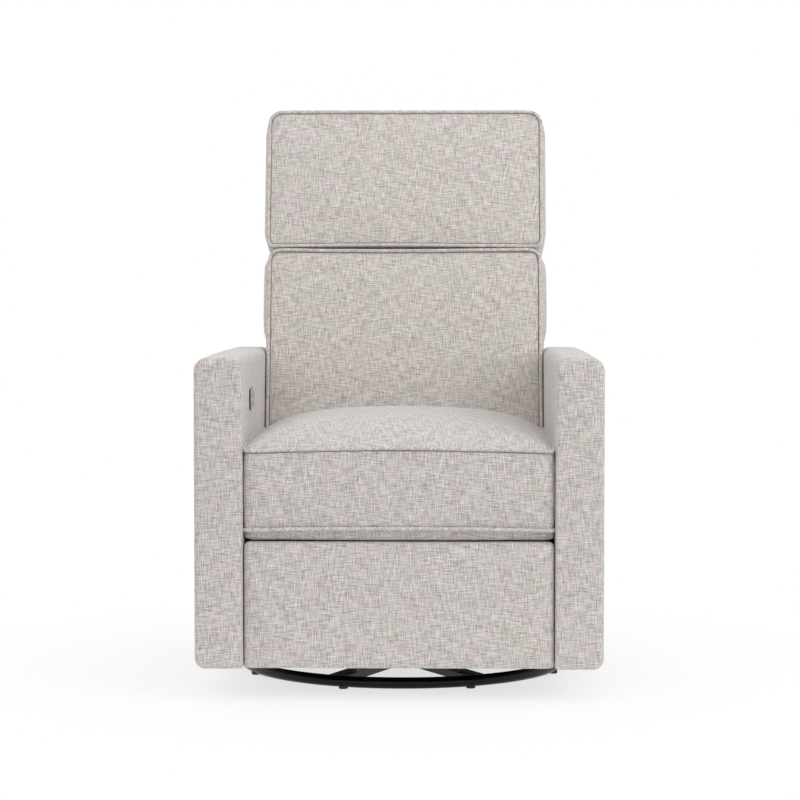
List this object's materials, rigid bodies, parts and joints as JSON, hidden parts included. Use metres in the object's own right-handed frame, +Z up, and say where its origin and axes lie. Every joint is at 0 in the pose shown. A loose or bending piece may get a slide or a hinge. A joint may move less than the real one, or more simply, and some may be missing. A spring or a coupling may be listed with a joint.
{
  "type": "swivel glider recliner chair",
  "caption": "Upholstered swivel glider chair on a black ring base, with a reclining back, tilting headrest, folding leg rest and arm control panel.",
  "frame": {"origin": "on the floor, on the swivel axis, at the middle of the chair's box", "axes": "+Z up, the chair faces -Y, +X to the right as seen from the front"},
  "size_m": [0.76, 0.8951, 1.1507],
  "materials": {
    "heather_fabric": "heathered woven upholstery",
    "webbing": "black elastic webbing",
    "black_steel": "black gloss powder coat",
    "zinc_steel": "zinc plated",
    "beech": "planed, unfinished",
    "stained_beech": "black stained",
    "foot_plastic": "moulded",
    "black_plastic": "fine spark texture",
    "button_plastic": "soft matt"
  },
  "bodies": {
    "base": {"base_ring": "black_steel", "base_cross_arms": "black_steel", "floor_glides": "foot_plastic", "swivel_lower_race": "black_steel", "swivel_kingbolt": "zinc_steel"},
    "ball_ring": {"swivel_balls": "zinc_steel", "swivel_ball_cage": "black_plastic"},
    "turntable": {"swivel_top_plate": "black_steel", "glide_front_beam": "black_steel", "glide_rear_beam": "black_steel", "glide_uprights": "black_steel", "glide_upper_pins": "zinc_steel"},
    "front_links": {"front_swing_links": "zinc_steel"},
    "rear_links": {"rear_swing_links": "zinc_steel"},
    "chassis": {"side_plate_left": "black_steel", "side_plate_right": "black_steel", "cross_tubes": "black_steel", "glide_lower_pins": "zinc_steel", "legrest_pivot_pins": "zinc_steel", "back_hinge_pins": "zinc_steel", "seat_rail_left": "stained_beech", "seat_rail_right": "stained_beech", "seat_cross_rails": "stained_beech", "seat_webbing": "webbing", "seat_cushion": "heather_fabric", "arm_frame_left": "stained_beech", "arm_frame_right": "stained_beech", "arm_cover_left": "heather_fabric", "arm_cover_right": "heather_fabric", "arm_bolts": "zinc_steel", "rear_panel": "heather_fabric", "power_inlet": "black_plastic", "control_housing": "black_plastic", "actuator_mount": "black_steel", "legrest_actuator": "black_plastic", "recline_actuator": "black_plastic"},
    "legrest_raise": {"legrest_raise_button": "button_plastic"},
    "legrest_lower": {"legrest_lower_button": "button_plastic"},
    "back_raise": {"back_raise_button": "button_plastic"},
    "back_lower": {"back_lower_button": "button_plastic"},
    "legrest_rod": {"legrest_actuator_rod": "zinc_steel"},
    "recline_rod": {"recline_actuator_rod": "zinc_steel"},
    "legrest_swing": {"legrest_torque_tube": "black_steel", "legrest_swing_bars": "zinc_steel"},
    "legrest_fold": {"legrest_fold_bars": "zinc_steel"},
    "legrest_guide": {"legrest_guide_bars": "zinc_steel"},
    "legrest_steering": {"legrest_steering_bars": "zinc_steel"},
    "legrest_panel": {"legrest_brackets": "zinc_steel", "legrest_board": "stained_beech", "legrest_cushion": "heather_fabric"},
    "back": {"back_frame": "beech", "back_cushion": "heather_fabric", "back_cover": "heather_fabric", "back_hinge_brackets": "black_steel", "back_crank": "black_steel", "headrest_hinge_arms": "zinc_steel"},
    "headrest": {"headrest_cushion": "heather_fabric", "headrest_board": "beech", "headrest_hinge_ears": "zinc_steel"}
  },
  "joints": [
    {"name": "swivel", "type": "hinge", "parent": "base", "child": "turntable", "pos_m": [0, 0, 0.04], "axis": [0, 0, 1], "continuous": true},
    {"name": "ball_ring_turn", "type": "hinge", "parent": "base", "child": "ball_ring", "pos_m": [0, 0, 0.034], "axis": [0, 0, 1], "continuous": true},
    {"name": "glide", "type": "hinge", "parent": "turntable", "child": "front_links", "pos_m": [0, -0.13, 0.215], "axis": [1, 0, 0], "range_deg": [-25, 25]},
    {"name": "rear_link_swing", "type": "hinge", "parent": "turntable", "child": "rear_links", "pos_m": [0, 0.13, 0.215], "axis": [1, 0, 0], "range_deg": [-25, 25]},
    {"name": "seat_level", "type": "hinge", "parent": "front_links", "child": "chassis", "pos_m": [0, -0.13, 0.085], "axis": [1, 0, 0], "range_deg": [-25, 25]},
    {"name": "legrest", "type": "hinge", "parent": "chassis", "child": "legrest_swing", "pos_m": [0, -0.3, 0.262], "axis": [-1, 0, 0], "range_deg": [0, 90]},
    {"name": "fold_bar_turn", "type": "hinge", "parent": "legrest_swing", "child": "legrest_fold", "pos_m": [0, -0.23632, 0.10438], "axis": [-1, 0, 0], "range_deg": [-90, 0]},
    {"name": "guide_bar_turn", "type": "hinge", "parent": "legrest_swing", "child": "legrest_guide", "pos_m": [0, -0.22321, 0.07193], "axis": [-1, 0, 0], "range_deg": [-90, 0]},
    {"name": "panel_turn", "type": "hinge", "parent": "legrest_fold", "child": "legrest_panel", "pos_m": [0, -0.376, 0.275], "axis": [-1, 0, 0], "range_deg": [0, 90]},
    {"name": "steering_bar_turn", "type": "hinge", "parent": "chassis", "child": "legrest_steering", "pos_m": [0, -0.26072, 0.21403], "axis": [-1, 0, 0], "range_deg": [0, 90]},
    {"name": "legrest_rod_slide", "type": "slide", "parent": "chassis", "child": "legrest_rod", "axis": [0, 1, 0], "range_m": [-0.05667, 0]},
    {"name": "recline", "type": "hinge", "parent": "chassis", "child": "back", "pos_m": [0, 0.235, 0.29], "axis": [-1, 0, 0], "range_deg": [0, 40]},
    {"name": "recline_rod_slide", "type": "slide", "parent": "chassis", "child": "recline_rod", "axis": [0, 1, 0], "range_m": [-0.04114, 0]},
    {"name": "headrest_tilt", "type": "hinge", "parent": "back", "child": "headrest", "pos_m": [0, 0.20601, 0.87231], "axis": [1, 0, 0], "range_deg": [0, 30]},
    {"name": "legrest_raise_press", "type": "slide", "parent": "chassis", "child": "legrest_raise", "axis": [-1, 0, 0], "range_m": [0, 0.0015], "stiffness_N_per_m": 400},
    {"name": "legrest_lower_press", "type": "slide", "parent": "chassis", "child": "legrest_lower", "axis": [-1, 0, 0], "range_m": [0, 0.0015], "stiffness_N_per_m": 400},
    {"name": "back_raise_press", "type": "slide", "parent": "chassis", "child": "back_raise", "axis": [-1, 0, 0], "range_m": [0, 0.0015], "stiffness_N_per_m": 400},
    {"name": "back_lower_press", "type": "slide", "parent": "chassis", "child": "back_lower", "axis": [-1, 0, 0], "range_m": [0, 0.0015], "stiffness_N_per_m": 400}
  ],
  "couplings": [
    {"joint": "ball_ring_turn", "follows": "swivel", "ratio": 0.5},
    {"joint": "rear_link_swing", "follows": "glide", "ratio": 1},
    {"joint": "seat_level", "follows": "glide", "ratio": -1},
    {"joint": "fold_bar_turn", "follows": "legrest", "ratio": -1},
    {"joint": "guide_bar_turn", "follows": "legrest", "ratio": -1},
    {"joint": "panel_turn", "follows": "legrest", "ratio": 1},
    {"joint": "steering_bar_turn", "follows": "legrest", "ratio": 1},
    {"joint": "legrest_rod_slide", "follows": "legrest", "m_per_rad": -0.036013},
    {"joint": "recline_rod_slide", "follows": "recline", "m_per_rad": -0.058789}
  ]
}
